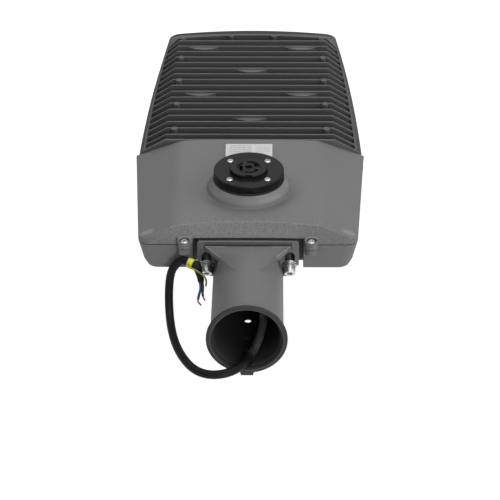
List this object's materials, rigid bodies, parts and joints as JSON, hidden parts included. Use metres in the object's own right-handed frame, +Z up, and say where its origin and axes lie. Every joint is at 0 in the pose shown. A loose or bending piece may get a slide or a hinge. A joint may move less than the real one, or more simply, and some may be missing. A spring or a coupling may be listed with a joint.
{
  "type": "led street light head",
  "caption": "Street light head with a finned lamp housing, a driver compartment with a photocell receptacle, and a clamp tube for a pole arm.",
  "frame": {"origin": "centre of the pole bore at the tube's mouth", "axes": "+Y along the pole bore from the mouth to the tip of the head, +Z up away from the lamp side, +X to the right seen from the pole"},
  "size_m": [0.244, 0.6089, 0.1205],
  "materials": {
    "charcoal_casting": "fine textured powder coat on die-cast aluminium",
    "grey_casting": "fine textured powder coat on die-cast aluminium",
    "black_rubber": "matt silicone seal",
    "steel_screws": "plain stainless steel",
    "black_plastic": "moulded, slightly satin",
    "brass_contacts": "bright stamped",
    "pale_plate": "blank film plate",
    "driver_case": "satin case",
    "white_plastic": "moulded",
    "white_board": "white solder mask on an aluminium board",
    "led_phosphor": "yellow phosphor",
    "clear_lens": "clear moulded lens plate",
    "cable_sheath": "black sheath",
    "core_black": "inner sheath",
    "core_blue": "core insulation",
    "core_brown": "core insulation",
    "core_yellow": "core insulation and tape",
    "copper_strands": "bare copper strands"
  },
  "bodies": {
    "root": {"heat_sink_housing": "charcoal_casting", "driver_tray": "grey_casting", "driver_cover": "grey_casting", "cover_gasket": "black_rubber", "pole_adaptor": "grey_casting", "adaptor_bolts": "steel_screws", "spring_washers": "steel_screws", "flat_washers": "steel_screws", "photocell_receptacle": "black_plastic", "receptacle_contacts": "brass_contacts", "receptacle_gasket": "black_rubber", "rating_plate": "pale_plate", "led_driver": "driver_case", "terminal_block": "white_plastic", "surge_protector": "driver_case", "cable_gland": "black_plastic", "led_boards": "white_board", "led_chips": "led_phosphor", "lens_gasket": "black_rubber", "lens_plate": "clear_lens", "cover_screws": "steel_screws", "receptacle_screws": "steel_screws", "driver_screws": "steel_screws", "lens_screws": "steel_screws", "joining_screws": "steel_screws", "mains_cable": "cable_sheath", "core_bundle": "core_black", "blue_core": "core_blue", "brown_core": "core_brown", "earth_core": "core_yellow", "bare_strands": "copper_strands", "end_tape": "core_yellow"}
  },
  "joints": []
}
